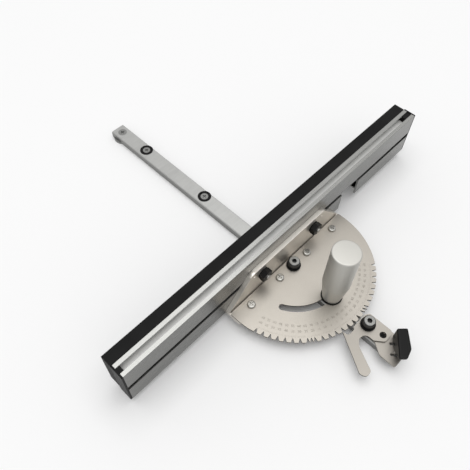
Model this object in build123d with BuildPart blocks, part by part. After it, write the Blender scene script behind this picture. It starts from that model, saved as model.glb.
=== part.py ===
from build123d import *

import os
from math import cos, radians, sin, tan

os.makedirs("parts", exist_ok=True)

# Frame: millimetres, X along the fence, Y along the bar towards its far end, Z up.
# The origin lies on the pivot's axis, in the underside of the bar.

# Fits
running_gap = 0.1        # between faces that slide past each other
screw_fit = 0.05         # radial, round a screw or a stud
slot_fit = 0.25          # each side of a piece that slides in a T-slot
edge_search = 0.01       # either side of the place where an edge is looked for

# Bar
bar_length = 450
bar_width = 19
bar_height = 9.5
bar_near_end = -146
bar_edge = 1.2
bar_blind_depth = 8

# Disc under the far end, and the washers that expand the bar sideways
disc_from_end = 10.4
disc_radius = 12
disc_thickness = 3
expansion_from_end = (56.5, 162.6)
expansion_offset = 1.5
expansion_radius = 8.2
expansion_depth = 6.5
expansion_slit = 1.2
nib_width = 1.0
nib_depth = 1.4
flat_screw_radius = 3
flat_screw_head = 5.6
small_screw_radius = 2.5
small_screw_head = 4.6
countersink = 90

# Socket screws at the pivot and at the index lever, with their washers
socket_screw_radius = 3
socket_head_radius = 6.5
socket_head_height = 7.7
socket_head_edge = 1.2
socket_radius = 2.9
socket_depth = 3.6
washer_radius = 8
washer_thickness = 1.6
bush_radius = 5
bush_wall = 1.9

# Angle bracket
angle_thickness = 5
angle_leg_front = -6.5
angle_top = 53
angle_top_length = 114
angle_corner = 8
angle_low_corner = 15
angle_leg_corner = 4
angle_bend = 1.0
spare_hole_radius = 1.8
spare_hole_from_end = 3
spare_hole_z = 46.5

# Protractor plate, with its stops as notches in the rim
plate_thickness = 2
plate_radius = 90
plate_back = 8.6
plate_corner = 2
notch_depth = 4.5
notch_flat = 0.6
notch_overrun = 2
notch_half_angle = 19.6
index_direction = -105
stops = (0, 5, 10, 15, 20, 22.5, 25, 30, 35, 40, 45, 50, 55, 60)
arc_slot_width = 7
arc_slot_half_angle = 62.5
bracket_screw_shares = (-0.75, -0.25, 0.25, 0.75)
pan_head_radius = 4.5
pan_head_height = 2.8
cross_recess_depth = 1.3
cross_recess_width = 1.2
pan_recess_length = 5.2

# Handle on its stud
handle_y = -52.8
handle_top = 102.5
handle_radius = 14.6
handle_foot_radius = 10.4
handle_shoulder = 47
handle_shoulder_round = 12
handle_edge = 1.5
handle_washer_radius = 11.6
handle_washer_thickness = 1.1
stud_radius = 3
stud_top = 58
spacer_radius = 8

# Fence profile
fence_length = 447
fence_left = -215.5
fence_back = 14.9
fence_depth = 15.5
fence_bottom = 11
fence_top = 70.4
fence_wall = 2.0
fence_edge = 0.4
box_bottom = 18
slot_mouth = 6.5
slot_room = 12.1
slot_depth = 4.8
side_slot_z = 39.2
top_slot_y_from_back = 7.65
top_slot_mouth = 6.7
top_slot_room = 11.0
top_slot_depth = 5.5
fence_lip = 2.0
cutout_left = 100
cutout_width = 32
cap_thickness = 2
cap_corner = 1.0
plug_lengths = (4.5, 11.0)
plug_sink = 0.6

# T-bolts that hold the fence on the bracket
bolt_places = (-40.7, 40.7)
bolt_radius = 3
bolt_head_thickness = 3.6
bolt_length = 19.5
nut_across_flats = 13
nut_thickness = 5.5
nut_washer_radius = 7
nut_washer_thickness = 1.2

# Face boards
board_thickness = 13
board_bottom = 17.4
board_seam = 52.6
board_past_left = 1.9
board_past_right = 0.4
board_edge = 0.6
left_screws_from_end = (60.4, 210.4)
right_screws_from_end = (86.9, 46.9)
board_screw_head = 5.5

# Index lever, its places measured from its own pivot on the bar
index_y = -100
lever_thickness = 2
lever_hole_x = 1.4
lever_hole_back = -18
lever_hole_radius = 3.6
lever_left = -10.1
lever_right = 11.5
lever_far = 8.8
lever_near = -24
near_left_cut = (7.1, 9.5)
near_right_cut = (2.5, 3.0)
far_right_cut = (4.5, 3.3)
throat_near = -3.9
throat_corner = (-19.5, -3.2)
arm_corner = (-25.6, -8.2)
step_right = -12.6
step_corner = (-14.2, 6.6)
tooth_root = (-19.6, 6.6)
tooth_tip_clear = 0.4
tooth_tip_direction = -105.83
tooth_direction = 84.03
tooth_half_angle = 18.5
tooth_tip_width = 0.5
tooth_length = 7
tooth_flare = 0.3
tooth_left_share = 0.45
tooth_right_share = 0.75
finger_end = (-42.9, -27.2)
finger_radius = 4.9
finger_round = 4.6
finger_side_share = 0.4
finger_end_share = 0.6

# Thumb plate with its tab, its spacer and the grip on the tab, measured from the same pivot
thumb_plate_thickness = 2
thumb_plate_overhang = 1
thumb_plate_waist = -15.5
thumb_rest_corner = (-17.3, -27.5)
thumb_rest_left = -17.4
thumb_rest_right = -7.5
thumb_plate_right = 11.8
right_flank = (-24.5, -16, -12)
thumb_screw_head = 3.45
tab_width = 8.5
tab_relief = 3
relief_depth = 3.4
tab_bend = 1.5
tab_top = 31.5
grip_corner = (8.1, -25)
grip_direction = 38.5
grip_top = 34
grip_length = 31.6
grip_thickness = 12.7
grip_tail_thickness = 8.1
grip_root_thickness = 10.8
grip_bulge_place = 20.5
grip_tail_start = 17
grip_tail_height = 31
grip_tail_cut = 1
grip_root_cut = 1.2
grip_corners = (1, 1, 2.5, 6, 1)
grip_tab_depth = 2
tab_centre = -14.4
grip_edge = 0.7
spacer_near = -27
spacer_far = 8
spacer_width = 16
spacer_corner = 2
spring_radius = 6.4
spring_wire = 0.8
spring_turns = 2
spring_pitch = 0.95
spring_room = 0.5
pin_travel = 32

# Heights and depths that follow
bar_far_end = bar_near_end + bar_length
disc_y = bar_far_end - disc_from_end
expansion_places = [bar_far_end - place for place in expansion_from_end]
angle_length = 2 * plate_radius
spare_hole_x = angle_top_length / 2 - spare_hole_from_end
bracket_screw_places = [share * plate_radius for share in bracket_screw_shares]
bracket_bottom = bar_height + running_gap
plate_bottom = bracket_bottom + angle_thickness
plate_top = plate_bottom + plate_thickness
washer_bottom = plate_top + running_gap
washer_top = washer_bottom + washer_thickness
thumb_plate_top = plate_bottom - running_gap
thumb_plate_bottom = thumb_plate_top - thumb_plate_thickness
fence_front = fence_back + fence_depth
flange_front = fence_back - running_gap
flange_back = flange_front - angle_thickness
fence_right = fence_left + fence_length
board_left_end = fence_left - board_past_left
board_right_end = fence_right + board_past_right
left_screw_places = [board_left_end + place for place in left_screws_from_end]
right_screw_places = [board_right_end - place for place in right_screws_from_end]
notch_mouth = plate_radius + notch_overrun
arc_slot_radius = -handle_y
lever_hole_y = index_y + lever_hole_back
spacer_near_end = index_y + spacer_near
spacer_far_end = index_y + spacer_far
tooth_tip = ((plate_radius + tooth_tip_clear) * cos(radians(tooth_tip_direction)),
             (plate_radius + tooth_tip_clear) * sin(radians(tooth_tip_direction)))


def socket_screw_with_head(x, y, seat, depth):
    """A socket-head screw seated at height seat, its shank reaching down to depth."""
    top = seat + socket_head_height
    straight = socket_head_height - socket_head_edge
    with Locations((x, y, depth)):
        Cylinder(socket_screw_radius, seat - depth, align=(Align.CENTER, Align.CENTER, Align.MIN))
    with Locations((x, y, seat)):
        Cylinder(socket_head_radius, straight, align=(Align.CENTER, Align.CENTER, Align.MIN))
    with Locations((x, y, seat + straight)):
        Cone(socket_head_radius, socket_head_radius - socket_head_edge, socket_head_edge,
             align=(Align.CENTER, Align.CENTER, Align.MIN))
    with BuildSketch(Plane.XY.offset(top)) as socket:
        with Locations((x, y)):
            RegularPolygon(socket_radius, 6)
    extrude(socket.sketch, amount=-socket_depth, mode=Mode.SUBTRACT)


def flat_screw(x, y, top, bottom, radius, head_radius):
    """A countersunk screw with its flat head at height top and a cross recess in it."""
    head_height = (head_radius - radius) / tan(radians(countersink / 2))
    with Locations((x, y, top - head_height)):
        Cone(radius, head_radius, head_height, align=(Align.CENTER, Align.CENTER, Align.MIN))
    with Locations((x, y, bottom)):
        Cylinder(radius, top - head_height - bottom, align=(Align.CENTER, Align.CENTER, Align.MIN))
    with BuildSketch(Plane.XY.offset(top)) as recess:
        with Locations((x, y)):
            Rectangle(head_radius, cross_recess_width)
            Rectangle(cross_recess_width, head_radius)
    extrude(recess.sketch, amount=-cross_recess_depth, mode=Mode.SUBTRACT)


def from_index(x, y):
    """The plan point at x and y from the index lever's pivot."""
    return (x, index_y + y)


def grip_point(along, out):
    """The plan point that lies along the grip's inner face and out from it, from its corner."""
    turn = radians(grip_direction)
    return from_index(grip_corner[0] + along * cos(turn) + out * sin(turn),
                      grip_corner[1] + along * sin(turn) - out * cos(turn))


along_direction = (cos(radians(grip_direction)), sin(radians(grip_direction)), 0)
back_direction = (-along_direction[0], -along_direction[1], 0)
out_direction = (sin(radians(grip_direction)), -cos(radians(grip_direction)), 0)

# The bar, with a recess for the disc, pockets for the expanding washers and tapped holes.
with BuildPart() as miter_bar:
    with BuildSketch(Plane.XY):
        with Locations((0, (bar_near_end + bar_far_end) / 2)):
            Rectangle(bar_width, bar_length)
    extrude(amount=bar_height)
    chamfer(miter_bar.edges().filter_by(Axis.Y), bar_edge)
    with BuildSketch(Plane.XY):
        with Locations((0, disc_y)):
            Circle(disc_radius + screw_fit)
    extrude(amount=disc_thickness, mode=Mode.SUBTRACT)
    with Locations((0, disc_y, bar_height)):
        CounterSinkHole(flat_screw_radius + screw_fit, flat_screw_head + screw_fit,
                        counter_sink_angle=countersink)
    with Locations(*[(expansion_offset, y, bar_height) for y in expansion_places]):
        CounterBoreHole(small_screw_radius + screw_fit, expansion_radius + screw_fit,
                        expansion_depth, bar_blind_depth)
    with BuildSketch(Plane.XY.offset(bar_height)):
        with Locations(*[(bar_width / 2, y + expansion_radius) for y in expansion_places]):
            Rectangle(2 * nib_depth, nib_width)
    extrude(amount=-expansion_depth, mode=Mode.SUBTRACT)
    with Locations((0, 0, bar_height), (0, index_y, bar_height), (0, handle_y, bar_height),
                   (lever_hole_x, lever_hole_y, bar_height)):
        Hole(socket_screw_radius + screw_fit, bar_blind_depth)
miter_bar.part.label = "miter_bar"
export_step(miter_bar.part, "parts/miter_bar.step")

# The disc that runs in a T-shaped table slot, flush with the bar's underside.
with BuildPart() as t_slot_disc:
    with BuildSketch(Plane.XY):
        with Locations((0, disc_y)):
            Circle(disc_radius)
            Circle(flat_screw_radius + screw_fit, mode=Mode.SUBTRACT)
    extrude(amount=disc_thickness)
t_slot_disc.part.label = "t_slot_disc"
export_step(t_slot_disc.part, "parts/t_slot_disc.step")

with BuildPart() as disc_screw:
    flat_screw(0, disc_y, bar_height, running_gap, flat_screw_radius, flat_screw_head)
disc_screw.part.label = "disc_screw"
export_step(disc_screw.part, "parts/disc_screw.step")

# Split washers with a cone in them: the screw spreads each one against the table's slot.
for number, washer_y in enumerate(expansion_places, start=1):
    with BuildPart() as expansion_washer:
        with BuildSketch(Plane.XY.offset(bar_height - expansion_depth)):
            with Locations((expansion_offset, washer_y)):
                Circle(expansion_radius)
        extrude(amount=expansion_depth)
        with Locations((expansion_offset, washer_y, bar_height)):
            CounterSinkHole(small_screw_radius + screw_fit, small_screw_head + screw_fit,
                            counter_sink_angle=countersink)
        with BuildSketch(Plane.XY.offset(bar_height)):
            with Locations((expansion_offset, washer_y + expansion_radius / 2)):
                Rectangle(expansion_slit, expansion_radius + running_gap)
        extrude(amount=-expansion_depth, mode=Mode.SUBTRACT)
    expansion_washer.part.label = f"expansion_washer_{number}"
    export_step(expansion_washer.part, f"parts/expansion_washer_{number}.step")

    with BuildPart() as expansion_screw:
        flat_screw(expansion_offset, washer_y, bar_height, bar_height - bar_blind_depth,
                   small_screw_radius, small_screw_head)
    expansion_screw.part.label = f"expansion_screw_{number}"
    export_step(expansion_screw.part, f"parts/expansion_screw_{number}.step")

# The pivot: a bush that the head turns on, clamped by a screw through a washer.
with BuildPart() as pivot_bush:
    with BuildSketch(Plane.XY.offset(bar_height)):
        Circle(bush_radius)
        Circle(bush_radius - bush_wall, mode=Mode.SUBTRACT)
    extrude(amount=washer_bottom - bar_height)
pivot_bush.part.label = "pivot_bush"
export_step(pivot_bush.part, "parts/pivot_bush.step")

with BuildPart() as pivot_washer:
    with BuildSketch(Plane.XY.offset(washer_bottom)):
        Circle(washer_radius)
        Circle(socket_screw_radius + screw_fit, mode=Mode.SUBTRACT)
    extrude(amount=washer_thickness)
pivot_washer.part.label = "pivot_washer"
export_step(pivot_washer.part, "parts/pivot_washer.step")

with BuildPart() as pivot_screw:
    socket_screw_with_head(0, 0, washer_top, bar_height - bar_blind_depth)
pivot_screw.part.label = "pivot_screw"
export_step(pivot_screw.part, "parts/pivot_screw.step")

# The angle bracket: a leg under the protractor plate and a flange behind the fence.
with BuildPart() as angle_bracket:
    leg_depth = flange_front - angle_leg_front
    with BuildSketch(Plane.XY.offset(bracket_bottom)) as leg_plan:
        with Locations((0, angle_leg_front + leg_depth / 2)):
            Rectangle(angle_length, leg_depth)
        fillet(leg_plan.vertices().group_by(Axis.Y)[0], angle_leg_corner)
    extrude(amount=angle_thickness)
    with BuildSketch(Plane.XZ.offset(-flange_front)):
        with BuildLine():
            FilletPolyline(
                (-angle_length / 2, bracket_bottom), (angle_length / 2, bracket_bottom),
                (angle_length / 2, angle_low_corner), (angle_top_length / 2, angle_top),
                (-angle_top_length / 2, angle_top), (-angle_length / 2, angle_low_corner),
                radius=[0, 0, 0, angle_corner, angle_corner, 0], close=True)
        make_face()
        with Locations(*[(x, side_slot_z) for x in bolt_places]):
            Circle(bolt_radius + slot_fit, mode=Mode.SUBTRACT)
        with Locations((-spare_hole_x, spare_hole_z), (spare_hole_x, spare_hole_z)):
            Circle(spare_hole_radius, mode=Mode.SUBTRACT)
    extrude(amount=angle_thickness)
    with Locations((0, 0, plate_bottom)):
        Hole(bush_radius + screw_fit, angle_thickness)
    with Locations(*[(x, 0, plate_bottom) for x in bracket_screw_places]):
        Hole(small_screw_radius + screw_fit, angle_thickness)
    inner_corner = angle_bracket.edges().filter_by(Axis.X).filter_by_position(
        Axis.Z, plate_bottom - edge_search, plate_bottom + edge_search).filter_by_position(
        Axis.Y, flange_back - edge_search, flange_back + edge_search)
    fillet(inner_corner, angle_bend)
angle_bracket.part.label = "angle_bracket"
export_step(angle_bracket.part, "parts/angle_bracket.step")

# The protractor plate: a half disc with V notches at the stops and a curved slot.
with BuildPart() as protractor_plate:
    with BuildSketch(Plane.XY.offset(plate_bottom)) as plate_plan:
        Circle(plate_radius)
        with Locations((0, plate_radius)):
            Rectangle(4 * plate_radius, 2 * plate_radius, mode=Mode.SUBTRACT)
        with Locations((0, plate_back / 2)):
            Rectangle(2 * plate_radius, plate_back)
        fillet(plate_plan.vertices().group_by(Axis.Y)[-1], plate_corner)
        notch_spread = tan(radians(notch_half_angle)) * (notch_mouth - plate_radius + notch_depth)
        signed_stops = sorted({sign * stop for stop in stops for sign in (-1, 1)})
        with Locations(*[Location((0, 0, 0), (0, 0, index_direction + stop))
                         for stop in signed_stops]):
            Polygon(
                (plate_radius - notch_depth, notch_flat / 2),
                (plate_radius - notch_depth, -notch_flat / 2),
                (notch_mouth, -notch_flat / 2 - notch_spread),
                (notch_mouth, notch_flat / 2 + notch_spread),
                align=None, mode=Mode.SUBTRACT)
        slot_line = CenterArc((0, 0), arc_slot_radius, -90 - arc_slot_half_angle,
                              2 * arc_slot_half_angle, mode=Mode.PRIVATE)
        SlotArc(slot_line, arc_slot_width, mode=Mode.SUBTRACT)
        Circle(bush_radius + screw_fit, mode=Mode.SUBTRACT)
        with Locations(*[(x, 0) for x in bracket_screw_places]):
            Circle(small_screw_radius + screw_fit, mode=Mode.SUBTRACT)
    extrude(amount=plate_thickness)
protractor_plate.part.label = "protractor_plate"
export_step(protractor_plate.part, "parts/protractor_plate.step")

# Four pan-head screws that hold the plate on the bracket's leg.
with BuildPart() as bracket_screws:
    with Locations(*[(x, 0, bracket_bottom + running_gap) for x in bracket_screw_places]):
        Cylinder(small_screw_radius, plate_top - bracket_bottom - running_gap,
                 align=(Align.CENTER, Align.CENTER, Align.MIN))
    with BuildSketch(Plane.XY.offset(plate_top)):
        with Locations(*[(x, 0) for x in bracket_screw_places]):
            Circle(pan_head_radius)
    extrude(amount=pan_head_height)
    fillet(bracket_screws.faces().sort_by(Axis.Z)[-4:].edges(), pan_head_height / 2)
    with BuildSketch(Plane.XY.offset(plate_top + pan_head_height)):
        with Locations(*[(x, 0) for x in bracket_screw_places]):
            Rectangle(pan_recess_length, cross_recess_width)
            Rectangle(cross_recess_width, pan_recess_length)
    extrude(amount=-cross_recess_depth, mode=Mode.SUBTRACT)
bracket_screws.part.label = "bracket_screws"
export_step(bracket_screws.part, "parts/bracket_screws.step")

# The handle on its stud clamps the plate against a spacer on the bar.
with BuildPart() as clamp_spacer:
    with BuildSketch(Plane.XY.offset(bar_height)):
        with Locations((0, handle_y)):
            Circle(spacer_radius)
            Circle(stud_radius + screw_fit, mode=Mode.SUBTRACT)
    extrude(amount=thumb_plate_top - bar_height)
clamp_spacer.part.label = "clamp_spacer"
export_step(clamp_spacer.part, "parts/clamp_spacer.step")

with BuildPart() as handle_stud:
    with BuildSketch(Plane.XY.offset(bar_height - bar_blind_depth)):
        with Locations((0, handle_y)):
            Circle(stud_radius)
    extrude(amount=stud_top - bar_height + bar_blind_depth)
    chamfer(handle_stud.faces().sort_by(Axis.Z)[-1].edges(), stud_radius / 4)
handle_stud.part.label = "handle_stud"
export_step(handle_stud.part, "parts/handle_stud.step")

handle_washer_top = washer_bottom + handle_washer_thickness
with BuildPart() as handle_washer:
    with BuildSketch(Plane.XY.offset(washer_bottom)):
        with Locations((0, handle_y)):
            Circle(handle_washer_radius)
            Circle(stud_radius + running_gap, mode=Mode.SUBTRACT)
    extrude(amount=handle_washer_thickness)
handle_washer.part.label = "handle_washer"
export_step(handle_washer.part, "parts/handle_washer.step")

with BuildPart() as handle_grip:
    with BuildSketch(Plane.XZ.offset(-handle_y)):
        with BuildLine():
            FilletPolyline(
                (0, handle_washer_top), (handle_foot_radius, handle_washer_top),
                (handle_radius, handle_shoulder), (handle_radius, handle_top), (0, handle_top),
                radius=[0, 0, handle_shoulder_round, handle_edge, 0], close=True)
        make_face()
    revolve(axis=Axis((0, handle_y, 0), (0, 0, 1)))
    with BuildSketch(Plane.XY.offset(handle_washer_top)):
        with Locations((0, handle_y)):
            Circle(stud_radius + running_gap)
    extrude(amount=stud_top - handle_washer_top + running_gap, mode=Mode.SUBTRACT)
handle_grip.part.label = "handle_grip"
export_step(handle_grip.part, "parts/handle_grip.step")

# The fence: one hollow profile with T-slots in its top, back and front, cut open at one place.
top_slot_y = fence_back + top_slot_y_from_back
inner_depth = fence_depth - 2 * fence_wall
inner_centre = fence_back + fence_depth / 2
upper_cell_bottom = side_slot_z + slot_room / 2 + fence_wall
upper_cell_top = fence_top - fence_lip - top_slot_depth - fence_wall
lower_cell_bottom = box_bottom + fence_wall
lower_cell_top = side_slot_z - slot_room / 2 - fence_wall
with BuildPart() as fence_profile:
    with BuildSketch(Plane.YZ.offset(fence_left)) as fence_section:
        with Locations((inner_centre, (box_bottom + fence_top) / 2)):
            Rectangle(fence_depth, fence_top - box_bottom)
        with Locations((fence_back + fence_wall / 2, (fence_bottom + box_bottom) / 2)):
            Rectangle(fence_wall, box_bottom - fence_bottom)
        fillet(fence_section.vertices(), fence_edge)
        with Locations((inner_centre, (upper_cell_bottom + upper_cell_top) / 2)):
            Rectangle(inner_depth, upper_cell_top - upper_cell_bottom, mode=Mode.SUBTRACT)
        with Locations((inner_centre, (lower_cell_bottom + lower_cell_top) / 2)):
            Rectangle(inner_depth, lower_cell_top - lower_cell_bottom, mode=Mode.SUBTRACT)
        with Locations((top_slot_y, fence_top - fence_lip - top_slot_depth / 2)):
            Rectangle(top_slot_room, top_slot_depth, mode=Mode.SUBTRACT)
        with Locations((top_slot_y, fence_top - fence_lip / 2)):
            Rectangle(top_slot_mouth, fence_lip + 2 * running_gap, mode=Mode.SUBTRACT)
        with Locations((fence_back + fence_lip + slot_depth / 2, side_slot_z),
                       (fence_front - fence_lip - slot_depth / 2, side_slot_z)):
            Rectangle(slot_depth, slot_room, mode=Mode.SUBTRACT)
        with Locations((fence_back + fence_lip / 2, side_slot_z),
                       (fence_front - fence_lip / 2, side_slot_z)):
            Rectangle(fence_lip + 2 * running_gap, slot_mouth, mode=Mode.SUBTRACT)
    extrude(amount=fence_length)
    cutout_top = side_slot_z + slot_mouth / 2
    with BuildSketch(Plane.XZ.offset(-fence_back)):
        with Locations((cutout_left + cutout_width / 2, (cutout_top + fence_bottom) / 2)):
            Rectangle(cutout_width, cutout_top - fence_bottom)
    extrude(amount=-fence_depth, mode=Mode.SUBTRACT)
fence_profile.part.label = "fence_profile"
export_step(fence_profile.part, "parts/fence_profile.step")

# Caps on the profile's ends, each with a plug in the top slot.
for side, cap_x, inward, plug_length in (("left", fence_left, 1, plug_lengths[0]),
                                         ("right", fence_right, -1, plug_lengths[1])):
    with BuildPart() as end_cap:
        with BuildSketch(Plane.YZ.offset(cap_x)) as cap_face:
            with Locations((inner_centre, (fence_bottom + fence_top) / 2)):
                Rectangle(fence_depth, fence_top - fence_bottom)
            fillet(cap_face.vertices(), cap_corner)
        extrude(amount=-inward * cap_thickness)
        with BuildSketch(Plane.YZ.offset(cap_x)):
            with Locations((top_slot_y, fence_top - fence_lip - top_slot_depth / 2)):
                Rectangle(top_slot_room - 2 * slot_fit, top_slot_depth - 2 * slot_fit)
            with Locations((top_slot_y, fence_top - plug_sink - fence_lip / 2 - slot_fit)):
                Rectangle(top_slot_mouth - 2 * slot_fit, fence_lip + 2 * slot_fit)
        extrude(amount=inward * plug_length)
    end_cap.part.label = f"end_cap_{side}"
    export_step(end_cap.part, f"parts/end_cap_{side}.step")

# T-bolts from the fence's back slot through the flange, each with a washer and a nut.
bolt_seat = fence_back + fence_lip + running_gap
bolt_head_width = slot_room - 2 * slot_fit
for number, bolt_x in enumerate(bolt_places, start=1):
    with BuildPart() as fence_bolt:
        with BuildSketch(Plane.XZ.offset(-bolt_seat)):
            with Locations((bolt_x, side_slot_z)):
                Rectangle(bolt_head_width, bolt_head_width)
        extrude(amount=-bolt_head_thickness)
        with BuildSketch(Plane.XZ.offset(-bolt_seat)):
            with Locations((bolt_x, side_slot_z)):
                Circle(bolt_radius)
        extrude(amount=bolt_length - bolt_head_thickness)
        chamfer(fence_bolt.faces().sort_by(Axis.Y)[0].edges(), bolt_radius / 4)
    fence_bolt.part.label = f"fence_bolt_{number}"
    export_step(fence_bolt.part, f"parts/fence_bolt_{number}.step")

    with BuildPart() as fence_washer:
        with BuildSketch(Plane.XZ.offset(-flange_back)):
            with Locations((bolt_x, side_slot_z)):
                Circle(nut_washer_radius)
                Circle(bolt_radius + screw_fit, mode=Mode.SUBTRACT)
        extrude(amount=nut_washer_thickness)
    fence_washer.part.label = f"fence_washer_{number}"
    export_step(fence_washer.part, f"parts/fence_washer_{number}.step")

    with BuildPart() as fence_nut:
        with BuildSketch(Plane.XZ.offset(nut_washer_thickness - flange_back)):
            with Locations((bolt_x, side_slot_z)):
                RegularPolygon(nut_across_flats / 2, 6, major_radius=False, rotation=30)
                Circle(bolt_radius + screw_fit, mode=Mode.SUBTRACT)
        extrude(amount=nut_thickness)
    fence_nut.part.label = f"fence_nut_{number}"
    export_step(fence_nut.part, f"parts/fence_nut_{number}.step")

# Two face boards, each held by countersunk screws into square nuts in the front slot.
board_front = fence_front + running_gap + board_thickness
nut_face = fence_front - fence_lip - running_gap
boards = (("left", board_left_end, board_seam, left_screw_places),
          ("right", board_seam + running_gap, board_right_end, right_screw_places))
for side, board_start, board_end, screw_places in boards:
    with BuildPart() as face_board:
        with BuildSketch(Plane.YZ.offset(board_start)) as board_section:
            with Locations((board_front - board_thickness / 2, (board_bottom + fence_top) / 2)):
                Rectangle(board_thickness, fence_top - board_bottom)
            fillet(board_section.vertices(), board_edge)
        extrude(amount=board_end - board_start)
        front_face = Plane(origin=(0, board_front, 0), x_dir=(-1, 0, 0), z_dir=(0, 1, 0))
        with Locations(*[front_face * Location((-x, side_slot_z, 0)) for x in screw_places]):
            CounterSinkHole(small_screw_radius + screw_fit, board_screw_head + screw_fit,
                            board_thickness, counter_sink_angle=countersink)
    face_board.part.label = f"face_board_{side}"
    export_step(face_board.part, f"parts/face_board_{side}.step")

    head_height = (board_screw_head - small_screw_radius) / tan(radians(countersink / 2))
    shank_end = nut_face - bolt_head_thickness
    with BuildPart() as board_screws:
        with Locations(*[front_face * Location((-x, side_slot_z, -head_height))
                         for x in screw_places]):
            Cone(small_screw_radius, board_screw_head, head_height,
                 align=(Align.CENTER, Align.CENTER, Align.MIN))
            Cylinder(small_screw_radius, board_front - head_height - shank_end,
                     align=(Align.CENTER, Align.CENTER, Align.MAX))
    board_screws.part.label = f"board_screws_{side}"
    export_step(board_screws.part, f"parts/board_screws_{side}.step")

    with BuildPart() as board_nuts:
        with BuildSketch(Plane.XZ.offset(-nut_face)):
            with Locations(*[(x, side_slot_z) for x in screw_places]):
                Rectangle(bolt_head_width, bolt_head_width)
                Circle(small_screw_radius + screw_fit, mode=Mode.SUBTRACT)
        extrude(amount=bolt_head_thickness)
    board_nuts.part.label = f"board_nuts_{side}"
    export_step(board_nuts.part, f"parts/board_nuts_{side}.step")

# The index lever: a flat plate with a tooth for the notches and a long finger arm.
tooth_turn = radians(tooth_direction)
tooth_base_half = tooth_tip_width / 2 + tooth_length * tan(radians(tooth_half_angle))


def tooth_point(back, across):
    """The plan point back from the tooth's tip and across it, positive to its left."""
    return (tooth_tip[0] - back * cos(tooth_turn) - across * sin(tooth_turn),
            tooth_tip[1] - back * sin(tooth_turn) + across * cos(tooth_turn))


lever_corners = (
    (tooth_point(0, -tooth_tip_width / 2), 0),
    (tooth_point(0, tooth_tip_width / 2), 0),
    (tooth_point(tooth_left_share * tooth_length,
                 tooth_left_share * tooth_base_half + tooth_flare), 1),
    (from_index(finger_end[0] - finger_radius,
                finger_end[1] + finger_side_share * finger_radius), 3),
    (from_index(finger_end[0] - finger_end_share * finger_radius,
                finger_end[1] - finger_radius), finger_round),
    (from_index(finger_end[0] + finger_radius, finger_end[1] - finger_radius), finger_round),
    (from_index(*arm_corner), 12),
    (from_index(*throat_corner), 3),
    (from_index(lever_left, throat_near), 6),
    (from_index(lever_left, lever_near + near_left_cut[1]), 3),
    (from_index(lever_left + near_left_cut[0], lever_near), 4),
    (from_index(lever_right - near_right_cut[0], lever_near), 1.5),
    (from_index(lever_right, lever_near + near_right_cut[1]), 1.5),
    (from_index(lever_right, lever_far - far_right_cut[1]), 2.5),
    (from_index(lever_right - far_right_cut[0], lever_far), 2.5),
    (from_index(step_right, lever_far), 1),
    (from_index(*step_corner), 1),
    (from_index(*tooth_root), 1),
    (tooth_point(tooth_right_share * tooth_length, -tooth_right_share * tooth_base_half), 0))
with BuildPart() as index_lever:
    with BuildSketch(Plane.XY.offset(plate_bottom)):
        with BuildLine():
            FilletPolyline(*[point for point, corner in lever_corners],
                           radius=[corner for point, corner in lever_corners], close=True)
        make_face()
        with Locations((0, index_y)):
            Circle(bush_radius + screw_fit, mode=Mode.SUBTRACT)
        with Locations((lever_hole_x, lever_hole_y)):
            Circle(lever_hole_radius, mode=Mode.SUBTRACT)
        with Locations((spring_radius, index_y)):
            Circle(spring_wire / 2 + screw_fit, mode=Mode.SUBTRACT)
    extrude(amount=lever_thickness)
index_lever.part.label = "index_lever"
export_step(index_lever.part, "parts/index_lever.step")

with BuildPart() as index_bush:
    with BuildSketch(Plane.XY.offset(bar_height)):
        with Locations((0, index_y)):
            Circle(bush_radius)
            Circle(bush_radius - bush_wall, mode=Mode.SUBTRACT)
    extrude(amount=washer_bottom - bar_height)
index_bush.part.label = "index_bush"
export_step(index_bush.part, "parts/index_bush.step")

with BuildPart() as index_washer:
    with BuildSketch(Plane.XY.offset(washer_bottom)):
        with Locations((0, index_y)):
            Circle(washer_radius)
            Circle(socket_screw_radius + screw_fit, mode=Mode.SUBTRACT)
    extrude(amount=washer_thickness)
index_washer.part.label = "index_washer"
export_step(index_washer.part, "parts/index_washer.step")

with BuildPart() as index_screw:
    socket_screw_with_head(0, index_y, washer_top, bar_height - bar_blind_depth)
index_screw.part.label = "index_screw"
export_step(index_screw.part, "parts/index_screw.step")

# The spacer block carries the thumb plate and houses the lever's return spring.
spring_pocket = spring_radius + spring_wire / 2 + spring_room
with BuildPart() as index_spacer:
    with BuildSketch(Plane.XY.offset(bar_height)) as spacer_plan:
        with Locations((0, (spacer_near_end + spacer_far_end) / 2)):
            Rectangle(spacer_width, spacer_far_end - spacer_near_end)
        fillet(spacer_plan.vertices(), spacer_corner)
        with Locations((0, index_y)):
            Circle(spring_pocket, mode=Mode.SUBTRACT)
        with Locations((spacer_width / 2, index_y)):
            Rectangle(spacer_width - 2 * spring_radius, spring_wire + 2 * screw_fit,
                      mode=Mode.SUBTRACT)
        with Locations((lever_hole_x, lever_hole_y)):
            Circle(socket_screw_radius + screw_fit, mode=Mode.SUBTRACT)
    extrude(amount=thumb_plate_bottom - bar_height)
index_spacer.part.label = "index_spacer"
export_step(index_spacer.part, "parts/index_spacer.step")

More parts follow.
